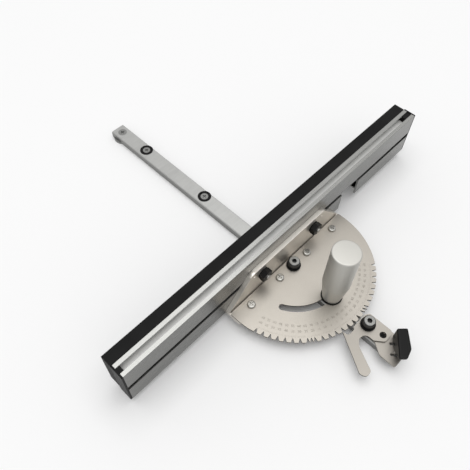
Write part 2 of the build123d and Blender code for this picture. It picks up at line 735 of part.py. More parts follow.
# The thumb plate lies on the spacer; its tab stands up square to the grip's direction.
tab_start = tab_centre + tab_width / 2
tab_end = tab_centre - tab_width / 2
tab_outer = grip_tab_depth + thumb_plate_thickness
bend_start = grip_tab_depth - tab_bend
plate_side = spacer_width / 2 + thumb_plate_overhang
relief_corner = tab_relief / 2 - running_gap
thumb_plate_corners = (
    ((-plate_side, spacer_far_end), 2),
    (from_index(-plate_side, thumb_plate_waist), 10),
    (from_index(*thumb_rest_corner), 6),
    ((thumb_rest_left, bar_near_end), 2),
    ((thumb_rest_right, bar_near_end), 1),
    (grip_point(tab_end - tab_relief, tab_outer + thumb_plate_thickness), 1),
    (grip_point(tab_end - tab_relief, -relief_depth), relief_corner),
    (grip_point(tab_end, -relief_depth), relief_corner),
    (grip_point(tab_end, bend_start), 0),
    (grip_point(tab_start, bend_start), 0),
    (grip_point(tab_start, -relief_depth), relief_corner),
    (grip_point(tab_start + tab_relief, -relief_depth), relief_corner),
    (grip_point(tab_start + tab_relief, thumb_plate_thickness), 1),
    (from_index(thumb_plate_right, right_flank[0]), 1),
    (from_index(thumb_plate_right, right_flank[1]), 2),
    (from_index(plate_side, right_flank[2]), 2),
    ((plate_side, spacer_far_end), 2))
with BuildPart() as thumb_plate:
    with BuildSketch(Plane.XY.offset(thumb_plate_bottom)):
        with BuildLine():
            FilletPolyline(*[point for point, corner in thumb_plate_corners],
                           radius=[corner for point, corner in thumb_plate_corners], close=True)
        make_face()
        with Locations((0, index_y)):
            Circle(bush_radius + screw_fit, mode=Mode.SUBTRACT)
        with Locations((0, index_y)):
            pin_slot = CenterArc((0, 0), spring_radius, -pin_travel / 2, pin_travel, mode=Mode.PRIVATE)
            SlotArc(pin_slot, spring_wire + spring_room, mode=Mode.SUBTRACT)
    extrude(amount=thumb_plate_thickness)
    with Locations((lever_hole_x, lever_hole_y, thumb_plate_top)):
        CounterSinkHole(small_screw_radius + screw_fit, thumb_screw_head + screw_fit,
                        thumb_plate_thickness, counter_sink_angle=countersink)
    tab_plane = Plane(origin=(*grip_point(tab_start, 0), thumb_plate_top), x_dir=out_direction,
                      z_dir=back_direction)
    tab_height = tab_top - thumb_plate_top
    with BuildSketch(tab_plane):
        with BuildLine():
            Polyline((grip_tab_depth, tab_bend), (grip_tab_depth, tab_height),
                     (tab_outer, tab_height), (tab_outer, tab_bend))
            RadiusArc((tab_outer, tab_bend), (bend_start, -thumb_plate_thickness),
                      tab_bend + thumb_plate_thickness)
            Line((bend_start, -thumb_plate_thickness), (bend_start, 0))
            RadiusArc((bend_start, 0), (grip_tab_depth, tab_bend), -tab_bend)
        make_face()
    extrude(amount=tab_width)
thumb_plate.part.label = "thumb_plate"
export_step(thumb_plate.part, "parts/thumb_plate.step")

with BuildPart() as thumb_plate_screw:
    flat_screw(lever_hole_x, lever_hole_y, thumb_plate_top, bar_height - bar_blind_depth,
               small_screw_radius, thumb_screw_head)
thumb_plate_screw.part.label = "thumb_plate_screw"
export_step(thumb_plate_screw.part, "parts/thumb_plate_screw.step")

# The grip: a moulded block with a bulged outer face and a tapered tail, pushed over the tab.
grip_bottom = thumb_plate_top + tab_bend
with BuildPart() as thumb_grip:
    with BuildSketch(Plane.XY.offset(grip_bottom)):
        with BuildLine():
            FilletPolyline(
                grip_point(0, 0), grip_point(-grip_length, 0),
                grip_point(grip_tail_cut - grip_length, grip_tail_thickness),
                grip_point(-grip_bulge_place, grip_thickness),
                grip_point(grip_root_cut, grip_root_thickness),
                radius=grip_corners, close=True)
        make_face()
    extrude(amount=grip_top - grip_bottom)
    fillet(thumb_grip.faces().sort_by(Axis.Z)[-1].edges(), grip_edge)
    with BuildSketch(Plane(origin=(*grip_point(0, 0), 0), x_dir=along_direction, z_dir=out_direction)):
        with BuildLine():
            Polyline((-grip_tail_start, grip_bottom), (grip_tail_start - 2 * grip_length, grip_bottom),
                     (grip_tail_start - 2 * grip_length, 2 * grip_tail_height - grip_bottom),
                     close=True)
        make_face()
    extrude(amount=grip_thickness, both=True, mode=Mode.SUBTRACT)
    with BuildSketch(Plane.XY.offset(grip_bottom)):
        with BuildLine():
            Polyline(
                grip_point(tab_start + screw_fit, grip_tab_depth - screw_fit),
                grip_point(tab_end - screw_fit, grip_tab_depth - screw_fit),
                grip_point(tab_end - screw_fit, tab_outer + screw_fit),
                grip_point(tab_start + screw_fit, tab_outer + screw_fit),
                close=True)
        make_face()
    extrude(amount=tab_top - grip_bottom, mode=Mode.SUBTRACT)
thumb_grip.part.label = "thumb_grip"
export_step(thumb_grip.part, "parts/thumb_grip.step")

# The lever's return spring: coils in the spacer, one end held there, one a pin in the lever.
spring_bottom = bar_height + (thumb_plate_bottom - bar_height - spring_turns * spring_pitch) / 2
with BuildPart() as index_spring:
    with BuildLine():
        coil = Helix(spring_pitch, spring_turns * spring_pitch, spring_radius,
                     center=(0, index_y, spring_bottom))
    coil_start = Plane(origin=coil @ 0, z_dir=coil % 0)
    with BuildSketch(coil_start):
        Circle(spring_wire / 2)
    sweep(is_frenet=True)
    with Locations(coil @ 1):
        Cylinder(spring_wire / 2, plate_bottom + lever_thickness / 2 - (coil @ 1).Z,
                 align=(Align.CENTER, Align.CENTER, Align.MIN))
    with Locations(coil @ 0):
        Cylinder(spring_wire / 2, spacer_width / 2 - spring_radius, rotation=(0, 90, 0),
                 align=(Align.CENTER, Align.CENTER, Align.MIN))
index_spring.part.label = "index_spring"
export_step(index_spring.part, "parts/index_spring.step")
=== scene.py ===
"""Dresses the miter gauge: its finishes, etched scale, turned handle and studio."""

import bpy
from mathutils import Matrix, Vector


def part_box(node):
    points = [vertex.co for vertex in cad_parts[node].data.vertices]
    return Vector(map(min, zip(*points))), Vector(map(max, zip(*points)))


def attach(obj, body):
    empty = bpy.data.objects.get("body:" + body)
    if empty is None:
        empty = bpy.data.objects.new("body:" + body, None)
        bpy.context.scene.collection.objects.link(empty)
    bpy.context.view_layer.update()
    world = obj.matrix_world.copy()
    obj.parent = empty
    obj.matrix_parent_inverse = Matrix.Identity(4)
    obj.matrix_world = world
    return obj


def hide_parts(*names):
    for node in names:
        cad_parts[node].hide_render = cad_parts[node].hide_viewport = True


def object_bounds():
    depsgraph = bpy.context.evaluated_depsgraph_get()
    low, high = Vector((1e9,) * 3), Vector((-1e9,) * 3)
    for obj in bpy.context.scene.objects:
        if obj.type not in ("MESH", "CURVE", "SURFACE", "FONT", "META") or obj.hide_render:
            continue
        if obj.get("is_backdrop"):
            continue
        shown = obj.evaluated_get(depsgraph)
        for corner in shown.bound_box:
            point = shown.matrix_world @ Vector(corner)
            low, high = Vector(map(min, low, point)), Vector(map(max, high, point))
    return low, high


bl_info = {
    "name": "Miter gauge",
    "version": (1, 0, 0),
    "blender": (4, 5, 0),
    "location": "3D View > Sidebar > Miter gauge",
    "description": "Builds the looks of a miter gauge around its CAD frame",
    "category": "Object",
}

import math

import bpy
import numpy as np
from bpy.props import FloatProperty, FloatVectorProperty, IntProperty, PointerProperty
from mathutils import Matrix, Quaternion, Vector

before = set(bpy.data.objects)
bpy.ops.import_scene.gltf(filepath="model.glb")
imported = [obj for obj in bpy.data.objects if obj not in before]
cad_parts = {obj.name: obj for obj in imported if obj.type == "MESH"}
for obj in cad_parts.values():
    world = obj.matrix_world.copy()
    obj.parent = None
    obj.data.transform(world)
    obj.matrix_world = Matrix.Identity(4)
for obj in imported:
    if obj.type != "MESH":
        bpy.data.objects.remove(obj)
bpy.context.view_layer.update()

MM = 0.001

# Camera: the turn and offset that carry the gauge's frame into the camera's, where x points
# right, y down and z ahead
CAMERA_TURN = (2.383472, -1.003691, 0.328311)
CAMERA_OFFSET = (0.063625, 0.042212, 0.598059)
CAMERA_LENS = 40.942
CAMERA_SENSOR = 36.0

# Scale on the protractor plate: degrees from the index, and its direction from +X
STOPS = (0, 5, 10, 15, 20, 25, 30, 35, 40, 45, 50, 55, 60)
INDEX_DIRECTION = -105.0

# Height of a figure as a share of its font's size
FIGURE_SHARE = 0.7

# Top slot of the fence: its middle, from the fence's back and top, and half its inside each way
TOP_SLOT_FROM_BACK = 7.65 * MM
TOP_SLOT_FROM_TOP = 4.0 * MM
TOP_SLOT_HALF_ROOM = 5.7 * MM
TOP_SLOT_HALF_DEPTH = 3.8 * MM

# Depths under a face at which its painted shade begins to change and has changed, and under a
# socket screw's top at which its painted highlight does
FACE_DEPTHS = (0.1 * MM, 0.3 * MM)
HIGHLIGHT_DEPTHS = (0.2 * MM, 0.5 * MM)

# Shares of its colour that a metal keeps where it is darker: painted shade on upright sides and on
# cut edges, and the darker rolled and plain steels
SHADED_SIDE = 0.6
SHADED_CUT_EDGE = 0.3
ROLLED_STEEL = 0.6
PLAIN_STEEL = 0.55

# Grain with no direction, in noise cells to the metre on each axis
FINE_GRAIN = (900, 900, 900)

# Part of its range that a noise mostly keeps to
NOISE_MIDDLE = (0.3, 0.7)

# Corners sharper than this are rounded, or stay crisp on a smooth piece
SHARP_CORNER = math.radians(40)

# Widths of the rounded edges, and the reach within which split corners are joined for them
THIN_EDGE = 0.12 * MM
BOARD_EDGE = 0.2 * MM
FENCE_EDGE = 0.25 * MM
BRACKET_EDGE = 0.4 * MM
WELD_REACH = 0.001 * MM

# Rounding of the grip: size of a cell, and how often the cells are smoothed
GRIP_CELL = 0.4 * MM
GRIP_ROUNDS = 32

# Stage, in metres: a round paper floor, and a square lamp over its middle
STAGE_MIDDLE = (0, 0.1)
STAGE_RADIUS = 2.8
STAGE_SIDES = 128
STAGE_GAP = 0.1 * MM
PAPER = (0.92, 0.92, 0.92, 1)
LAMP_HEIGHT = 4.0
LAMP_SIZE = 3.7

PLATE_NODES = ("protractor_plate", "index_lever", "thumb_plate")
SOCKET_SCREW_NODES = ("pivot_screw", "index_screw")
BLACK_METAL_NODES = ("expansion_washer_1", "expansion_washer_2", "pivot_washer",
                     "index_washer", "thumb_plate_screw", "fence_washer_1",
                     "fence_washer_2", "fence_nut_1", "fence_nut_2", "handle_washer",
                     "board_screws_left", "board_screws_right")
BRIGHT_NODES = ("bracket_screws", "fence_bolt_1", "fence_bolt_2", "handle_stud",
                "board_nuts_left", "board_nuts_right")
# Spacers and spring, whose dull dark tone is partly painted shade under the plates
DULL_SHADED_NODES = ("clamp_spacer", "index_spacer", "index_spring")
EXPANSION_SCREW_NODES = ("expansion_screw_1", "expansion_screw_2")
BUSH_NODES = ("pivot_bush", "index_bush")
BOARD_NODES = ("face_board_left", "face_board_right")
CAP_NODES = ("end_cap_left", "end_cap_right")


class ScaleSizes(bpy.types.PropertyGroup):
    """Sizes of the scale etched on the protractor plate."""
    number_height: FloatProperty(name="Number height", description="Height of the etched numbers",
                                 default=2.6 * MM, unit="LENGTH")
    outer_row: FloatProperty(name="Outer row", description="Radius of the outer row of numbers",
                             default=78 * MM, unit="LENGTH")
    inner_row: FloatProperty(name="Inner row", description="Radius of the inner row of numbers",
                             default=72 * MM, unit="LENGTH")
    line_end: FloatProperty(name="Line end", description="Radius that the degree lines reach",
                            default=84.6 * MM, unit="LENGTH")
    line_length: FloatProperty(name="Line length", description="Length of a degree line",
                               default=1.8 * MM, unit="LENGTH")
    line_width: FloatProperty(name="Line width", description="Width of a degree line",
                              default=0.16 * MM, unit="LENGTH")
    relief: FloatProperty(name="Relief", description="Height of the marks over the plate",
                          default=0.03 * MM, unit="LENGTH")


class HandleSizes(bpy.types.PropertyGroup):
    """Sizes of the turned handle that its box doesn't give."""
    foot_radius: FloatProperty(name="Foot radius", description="Radius at the handle's foot",
                               default=10.4 * MM, unit="LENGTH")
    shoulder: FloatProperty(name="Shoulder", description="Height where the taper ends",
                            default=47 * MM, unit="LENGTH")
    shoulder_round: FloatProperty(name="Shoulder round", description="Radius of the bend there",
                                  default=12 * MM, unit="LENGTH")
    edge: FloatProperty(name="Edge", description="Radius of the handle's top edge",
                        default=1.5 * MM, unit="LENGTH")
    sides: IntProperty(name="Sides", description="Facets round the handle", default=128)


class FinishColours(bpy.types.PropertyGroup):
    """Colours of the gauge's finishes."""
    plate: FloatVectorProperty(name="Plate", description="Satin protractor plate", subtype="COLOR",
                               default=(0.38, 0.355, 0.318))
    bracket: FloatVectorProperty(name="Bracket", description="Satin steel bracket",
                                 subtype="COLOR", default=(0.72, 0.685, 0.63))
    lever: FloatVectorProperty(name="Lever", description="Index lever and thumb plate",
                               subtype="COLOR", default=(0.32, 0.30, 0.27))
    bar: FloatVectorProperty(name="Bar", description="Ground steel bar", subtype="COLOR",
                             default=(0.375, 0.375, 0.365))
    fence: FloatVectorProperty(name="Fence", description="Drawn fence profile", subtype="COLOR",
                               default=(0.32, 0.32, 0.308))
    # Painted light: lightens the inside of the fence's top slot
    slot: FloatVectorProperty(name="Slot", description="Inside of the fence's top slot",
                              subtype="COLOR", default=(0.60, 0.60, 0.585))
    handle: FloatVectorProperty(name="Handle", description="Turned aluminium handle",
                                subtype="COLOR", default=(0.47, 0.462, 0.433))
    black_metal: FloatVectorProperty(name="Black metal",
                                     description="Black oxide screws, nuts and washers",
                                     subtype="COLOR", default=(0.004, 0.004, 0.004))
    # Painted highlight on the tops of the socket screws
    worn: FloatVectorProperty(name="Worn tops", description="Tops of the socket screws",
                              subtype="COLOR", default=(0.24, 0.24, 0.23))
    bright: FloatVectorProperty(name="Bright metal",
                                description="Zinc-plated screws, bolts and nuts",
                                subtype="COLOR", default=(0.36, 0.352, 0.33))
    # Dull steel, darkened further as painted shade for the gaps under the plates
    dull: FloatVectorProperty(name="Dull metal", description="Spacers and spring of dull steel",
                              subtype="COLOR", default=(0.15, 0.15, 0.145))
    brass: FloatVectorProperty(name="Brass", description="Bushes", subtype="COLOR",
                               default=(0.60, 0.42, 0.18))
    board: FloatVectorProperty(name="Face boards", description="Black boards and end caps",
                               subtype="COLOR", default=(0.012, 0.012, 0.012))
    grip: FloatVectorProperty(name="Grip", description="Moulded thumb grip", subtype="COLOR",
                              default=(0.004, 0.004, 0.004))
    etch: FloatVectorProperty(name="Etching", description="Etched numbers and lines",
                              subtype="COLOR", default=(0.26, 0.24, 0.21))


class StudioLevels(bpy.types.PropertyGroup):
    """Levels of the studio's light."""
    sky: FloatProperty(name="Sky", description="Strength of the light from all round", default=0.6)
    overhead: FloatProperty(name="Overhead", description="Power of the lamp overhead", default=92.0,
                            unit="POWER")


class Finish:
    """A node material being put together; shader is its Principled BSDF."""

    def __init__(self, name):
        self.material = bpy.data.materials.new(name)
        self.material.use_nodes = True
        self.tree = self.material.node_tree
        self.shader = self.tree.nodes["Principled BSDF"]

    def add(self, kind, inputs=(), **settings):
        """Add a node, set its settings, and set or link its inputs by name or number."""
        node = self.tree.nodes.new(kind)
        for key, value in settings.items():
            setattr(node, key, value)
        self.feed(node, inputs)
        return node

    def feed(self, node, inputs):
        """Link each given output, or set each given value, on the node's inputs."""
        for key, value in dict(inputs).items():
            if isinstance(value, bpy.types.NodeSocket):
                self.tree.links.new(value, node.inputs[key])
            else:
                node.inputs[key].default_value = value

    def noise(self, stretch, detail=4.0, roughness=0.55):
        """Noise over the piece's own coordinates, with so many cells to the metre on each axis."""
        place = self.add("ShaderNodeTexCoord")
        mapped = self.add("ShaderNodeMapping", {"Vector": place.outputs["Object"],
                                                "Scale": stretch})
        return self.add("ShaderNodeTexNoise", {"Vector": mapped.outputs["Vector"], "Scale": 1.0,
                                               "Detail": detail, "Roughness": roughness}).outputs[0]

    def along(self, axis):
        """The piece's own coordinate along an axis."""
        place = self.add("ShaderNodeTexCoord")
        return self.add("ShaderNodeSeparateXYZ", {0: place.outputs["Object"]}).outputs[axis]

    def off_middle(self, axis, middle):
        """The distance from a middle plane, along an axis."""
        offset = self.add("ShaderNodeMath", {0: self.along(axis), 1: middle}, operation="SUBTRACT")
        return self.add("ShaderNodeMath", {0: offset.outputs[0]}, operation="ABSOLUTE").outputs[0]

    def within(self, axis, middle, reach):
        """One where a point lies within reach of a middle plane, along an axis, and else zero."""
        return self.add("ShaderNodeMath", {0: self.off_middle(axis, middle), 1: reach},
                        operation="LESS_THAN").outputs[0]

    def spread(self, value, low, high):
        """The middle of a noise's range, carried to the range from low to high."""
        return self.add("ShaderNodeMapRange", {
            "Value": value, "From Min": NOISE_MIDDLE[0], "From Max": NOISE_MIDDLE[1],
            "To Min": low, "To Max": high}).outputs["Result"]

    def scaled(self, colour, factor):
        """A colour times a factor."""
        return self.add("ShaderNodeVectorMath", {0: colour, "Scale": factor},
                        operation="SCALE").outputs["Vector"]

    def tint(self, colour, value, low, high):
        """The colour, lightened and darkened by a noise between the factors low and high."""
        return self.scaled(tuple(colour), self.spread(value, low, high))

    def bump(self, height, strength, distance):
        """A bump from a height, joined to the shader's normal."""
        node = self.add("ShaderNodeBump", {"Height": height, "Strength": strength,
                                           "Distance": distance})
        self.feed(self.shader, {"Normal": node.outputs["Normal"]})


def grained_metal(name, colour, roughness, grain, stain=0.05, depth=0.02 * MM, faces=None):
    """A metal with slow stains in its colour, and with grain in its colour, gloss and surface,
    drawn out along an axis on which grain gives fewer cells. faces holds an axis, the places of
    two faces across it, and the shares that the colour keeps between them and on them: painted
    shade, so that cut edges or upright sides come out darker than the faces the light falls on."""
    finish = Finish(name)
    lines = finish.noise(grain)
    clouds = finish.noise((22, 22, 22), detail=6.0)
    stained = finish.tint(colour, clouds, 1 - stain, 1 + stain)
    grained = finish.scaled(stained, finish.spread(lines, 0.94, 1.05))
    # Painted shade: the colour is scaled down towards or away from the two faces
    if faces:
        axis, low, high, between, on_faces = faces
        half = (high - low) / 2
        share = finish.add("ShaderNodeMapRange", {
            "Value": finish.off_middle(axis, (low + high) / 2),
            "From Min": half - FACE_DEPTHS[1], "From Max": half - FACE_DEPTHS[0],
            "To Min": between, "To Max": on_faces}).outputs["Result"]
        grained = finish.scaled(grained, share)
    finish.feed(finish.shader, {
        "Base Color": grained,
        "Roughness": finish.spread(lines, roughness - 0.06, roughness + 0.08),
        "Metallic": 1.0})
    finish.bump(lines, 0.25, depth)
    return finish


def light_slot(finish, colour, slot_y, slot_z):
    """Paint light into the fence's top slot, whose middle is given: the metal there turns to a
    lighter colour that scatters like a plain surface, so that the recess looks lit."""
    inside = finish.add("ShaderNodeMath", {0: finish.within("Y", slot_y, TOP_SLOT_HALF_ROOM),
                                           1: finish.within("Z", slot_z, TOP_SLOT_HALF_DEPTH)},
                        operation="MULTIPLY").outputs[0]
    metal = finish.shader.inputs["Base Color"].links[0].from_socket
    # Painted light: the slot's inside takes the lighter colour and loses its metal
    mix = finish.add("ShaderNodeMix", {"Factor": inside, "A": metal, "B": (*colour, 1)},
                     data_type="RGBA")
    outside = finish.add("ShaderNodeMath", {0: 1.0, 1: inside}, operation="SUBTRACT")
    finish.feed(finish.shader, {"Base Color": mix.outputs["Result"],
                                "Metallic": outside.outputs[0]})


def textured_plastic(name, colour, roughness, cells, depth, gloss=0.05):
    """A moulded or textured plastic: fine pores in its surface and gloss, slow shades in colour."""
    finish = Finish(name)
    pores = finish.noise((cells, cells, cells), detail=3.0)
    clouds = finish.noise((30, 30, 30), detail=5.0)
    finish.feed(finish.shader, {
        "Base Color": finish.tint(colour, clouds, 0.85, 1.2),
        "Roughness": finish.spread(pores, roughness - 0.07, roughness + 0.07),
        "Metallic": 0.0,
        "Specular IOR Level": gloss})
    finish.bump(pores, 0.2, depth)
    return finish


def blackened_metal(name, colour, roughness):
    """Black oxide on steel: dark, with a thin oily gloss that varies."""
    finish = Finish(name)
    pores = finish.noise((1800, 1800, 1800), detail=3.0)
    clouds = finish.noise((160, 160, 160))
    finish.feed(finish.shader, {
        "Base Color": finish.tint(colour, clouds, 0.7, 1.6),
        "Roughness": finish.spread(clouds, roughness - 0.06, roughness + 0.1),
        "Metallic": 0.0,
        "Specular IOR Level": 0.12})
    finish.bump(pores, 0.15, 0.01 * MM)
    return finish


def worn_top(name, colour, worn, top):
    """Black oxide with a painted highlight: grey steel colour, turning metallic, over the last
    tenths of a millimetre to the top.
    """
    finish = Finish(name)
    clouds = finish.noise(FINE_GRAIN)
    highlight_share = finish.add("ShaderNodeMapRange", {
        "Value": finish.along("Z"), "From Min": top - HIGHLIGHT_DEPTHS[1],
        "From Max": top - HIGHLIGHT_DEPTHS[0]}).outputs["Result"]
    highlight_tint = finish.tint(worn, clouds, 0.8, 1.15)
    mix = finish.add("ShaderNodeMix", {"Factor": highlight_share, "A": (*colour, 1), "B": highlight_tint},
                     data_type="RGBA")
    finish.feed(finish.shader, {
        "Base Color": mix.outputs["Result"],
        "Roughness": finish.spread(clouds, 0.30, 0.42),
        "Metallic": highlight_share})
    finish.bump(clouds, 0.1, 0.01 * MM)
    return finish


def dress(names, finish):
    """Give the CAD nodes that finish."""
    for name in names:
        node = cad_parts[name]
        node.data.materials.clear()
        node.data.materials.append(finish.material)


def faces_of(name, axis, between, on_faces):
    """A node's two outer faces across an axis, as grained_metal takes them for its painted shade.
    """
    low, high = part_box(name)
    place = "XYZ".index(axis)
    return axis, low[place], high[place], between, on_faces


def ease_edges(names, width):
    """Round the sharp edges of CAD nodes to a width, with modifiers that leave the meshes alone."""
    for name in names:
        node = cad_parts[name]
        weld = node.modifiers.new("weld", "WELD")
        weld.merge_threshold = WELD_REACH
        bevel = node.modifiers.new("edges", "BEVEL")
        bevel.width = width
        bevel.segments = 2
        bevel.limit_method = "ANGLE"
        bevel.angle_limit = SHARP_CORNER
        bevel.harden_normals = True


def round_over(name, cell, rounds):
    """Round a CAD node all over like a moulding: a remesh to fine cells, then smoothing rounds."""
    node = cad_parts[name]
    remesh = node.modifiers.new("cells", "REMESH")
    remesh.mode = "VOXEL"
    remesh.voxel_size = cell
    remesh.use_smooth_shade = True
    smooth = node.modifiers.new("rounding", "SMOOTH")
    smooth.factor = 0.5
    smooth.iterations = rounds


def new_piece(name, points, faces, finish, body, smooth=False):
    """A mesh piece from an array of points and a list of faces, riding on a body."""
    mesh = bpy.data.meshes.new(name)
    mesh.from_pydata(points.tolist(), [], faces)
    mesh.materials.append(finish.material)
    if smooth:
        mesh.shade_smooth()
    else:
        mesh.shade_flat()
    mesh.update()
    piece = bpy.data.objects.new(name, mesh)
    bpy.context.scene.collection.objects.link(piece)
    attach(piece, body)
    return piece


def turned_surface(profile, centre, sides):
    """A closed surface of revolution: each profile point (r, z) goes round the centre as
    (x + r cos a, y + r sin a, z), and the profile's first and last points are its poles."""
    turn = np.linspace(0, 2 * np.pi, sides, endpoint=False)
    rings = profile[1:-1]
    radius, height = rings[:, :1], rings[:, 1:]
    x = centre[0] + radius * np.cos(turn)
    y = centre[1] + radius * np.sin(turn)
    z = height + 0 * turn
    body = np.stack([x, y, z], axis=-1).reshape(-1, 3)
    poles = np.array([[*centre, profile[0, 1]], [*centre, profile[-1, 1]]])
    ring = np.arange(len(rings) * sides).reshape(-1, sides)
    after = np.roll(ring, -1, axis=1)
    quads = np.stack([ring[:-1], after[:-1], after[1:], ring[1:]], axis=-1).reshape(-1, 4)
    low, high = len(body), len(body) + 1
    bottom = np.stack([np.full(sides, low), after[0], ring[0]], axis=-1)
    top = np.stack([np.full(sides, high), ring[-1], after[-1]], axis=-1)
    return np.vstack([body, poles]), quads.tolist() + bottom.tolist() + top.tolist()


def arc(centre, radius, start, end, steps):
    """Points on a circle's arc: centre + radius (cos a, sin a), a from start to end in degrees."""
    turn = np.radians(np.linspace(start, end, steps))
    return np.stack([centre[0] + radius * np.cos(turn), centre[1] + radius * np.sin(turn)], axis=1)


def thin_boxes(near, far, width, directions, low, high):
    """Thin closed boxes set radially: corner (r, s) of each goes to r u + s v, where u points in
    the box's direction and v square to it, once at height low and once at height high."""
    radii = np.array([near, far, far, near])
    across = np.array([-width, -width, width, width]) / 2
    turn = np.radians(directions)[:, None]
    x = radii * np.cos(turn) - across * np.sin(turn)
    y = radii * np.sin(turn) + across * np.cos(turn)
    plan = np.stack([x, y], axis=-1)
    heights = np.array([low, high])
    corners = np.concatenate([np.repeat(plan[:, None], 2, axis=1),
                              np.broadcast_to(heights[None, :, None, None],
                                              (len(directions), 2, 4, 1))], axis=-1)
    sides = np.array([[3, 2, 1, 0], [4, 5, 6, 7], [0, 1, 5, 4], [1, 2, 6, 5], [2, 3, 7, 6],
                      [3, 0, 4, 7]])
    faces = (sides[None] + 8 * np.arange(len(directions))[:, None, None]).reshape(-1, 4)
    return corners.reshape(-1, 3), faces.tolist()


def etched_numbers(labels, radius, height, relief, top):
    """The labels as one mesh, each set at its direction and radius with its head to the pivot."""
    points, faces, count = [], [], 0
    for text, direction in labels:
        curve = bpy.data.curves.new("label", "FONT")
        curve.body = text
        curve.size = height / FIGURE_SHARE
        curve.align_x = "CENTER"
        curve.align_y = "CENTER"
        curve.extrude = relief
        maker = bpy.data.objects.new("label", curve)
        bpy.context.scene.collection.objects.link(maker)
        bpy.context.view_layer.update()
        solid = maker.evaluated_get(bpy.context.evaluated_depsgraph_get())
        mesh = bpy.data.meshes.new_from_object(solid)
        turn = math.radians(direction)
        place = (Matrix.Translation((radius * math.cos(turn), radius * math.sin(turn), top))
                 @ Matrix.Rotation(turn + math.pi / 2, 4, "Z"))
        mesh.transform(place)
        found = np.zeros(3 * len(mesh.vertices))
        mesh.vertices.foreach_get("co", found)
        points.append(found.reshape(-1, 3))
        faces += [[count + v for v in face.vertices] for face in mesh.polygons]
        count += len(mesh.vertices)
        bpy.data.objects.remove(maker)
        bpy.data.curves.remove(curve)
        bpy.data.meshes.remove(mesh)
    return np.vstack(points), faces


class GAUGE_OT_bar(bpy.types.Operator):
    """Finish the slide bar in ground steel with painted shade on its upright sides, and its disc
    and screw in darker steel
    """
    bl_idname = "gauge.bar"
    bl_label = "Slide bar"

    def execute(self, context):
        colours = context.scene.gauge_colours
        darker = ROLLED_STEEL * Vector(colours.bar)
        # Painted shade darkens the bar's upright sides
        dress(("miter_bar",),
              grained_metal("ground_steel", colours.bar, roughness=0.38, grain=(60, 1100, 1100),
                            faces=faces_of("miter_bar", "X", 1.0, SHADED_SIDE)))
        dress(("t_slot_disc",),
              grained_metal("rolled_steel", darker, roughness=0.4, grain=FINE_GRAIN))
        dress(("disc_screw",),
              grained_metal("screw_steel", darker, roughness=0.32, grain=FINE_GRAIN))
        ease_edges(("miter_bar",), THIN_EDGE)
        return {"FINISHED"}


class GAUGE_OT_plates(bpy.types.Operator):
    """Finish the protractor plate, lever, thumb plate and bracket as satin steel, with painted
    shade on the cut edges of the plate and lever
    """
    bl_idname = "gauge.plates"
    bl_label = "Plates and bracket"

    def execute(self, context):
        colours = context.scene.gauge_colours
        # Painted shade darkens the cut edges of the plate and the lever
        dress(("protractor_plate",),
              grained_metal("satin_stainless", colours.plate, roughness=0.42, stain=0.04,
                            grain=(900, 1500, 1500),
                            faces=faces_of("protractor_plate", "Z", SHADED_CUT_EDGE, 1.0)))
        dress(("angle_bracket",),
              grained_metal("satin_steel", colours.bracket, roughness=0.4, grain=(900, 1500, 1500)))
        dress(("index_lever",),
              grained_metal("satin_lever", colours.lever, roughness=0.44, stain=0.06,
                            grain=(1500, 900, 1500),
                            faces=faces_of("index_lever", "Z", SHADED_CUT_EDGE, 1.0)))
        dress(("thumb_plate",),
              grained_metal("satin_thumb_plate", colours.lever, roughness=0.44, stain=0.06,
                            grain=(1500, 900, 1500)))
        ease_edges(PLATE_NODES, THIN_EDGE)
        ease_edges(("angle_bracket",), BRACKET_EDGE)
        return {"FINISHED"}


class GAUGE_OT_fence(bpy.types.Operator):
    """Finish the fence profile as satin aluminium drawn along its length, with painted shade on its
    back and front and painted light in its slot
    """
    bl_idname = "gauge.fence"
    bl_label = "Fence"

    def execute(self, context):
        colours = context.scene.gauge_colours
        # Painted shade darkens the fence's back and front faces
        drawn = grained_metal("drawn_aluminium", colours.fence, roughness=0.27, stain=0.03,
                              grain=(14, 2400, 2400),
                              faces=faces_of("fence_profile", "Y", 1.0, SHADED_SIDE))
        low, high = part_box("fence_profile")
        # Painted light in the fence's top slot
        light_slot(drawn, colours.slot, low.y + TOP_SLOT_FROM_BACK, high.z - TOP_SLOT_FROM_TOP)
        dress(("fence_profile",), drawn)
        ease_edges(("fence_profile",), FENCE_EDGE)
        return {"FINISHED"}


class GAUGE_OT_boards(bpy.types.Operator):
    """Finish the face boards, end caps and thumb grip in black plastic"""
    bl_idname = "gauge.boards"
    bl_label = "Boards, caps and grip"

    def execute(self, context):
        colours = context.scene.gauge_colours
        dress(BOARD_NODES, textured_plastic("textured_board", colours.board, roughness=0.52,
                                            cells=1600, depth=0.04 * MM))
        dress(CAP_NODES, textured_plastic("moulded_cap", colours.board, roughness=0.42,
                                          cells=2600, depth=0.02 * MM))
        dress(("thumb_grip",), textured_plastic("moulded_grip", colours.grip, roughness=0.34,
                                                cells=2000, depth=0.01 * MM, gloss=0.15))
        round_over("thumb_grip", GRIP_CELL, GRIP_ROUNDS)
        ease_edges(BOARD_NODES + CAP_NODES, BOARD_EDGE)
        return {"FINISHED"}


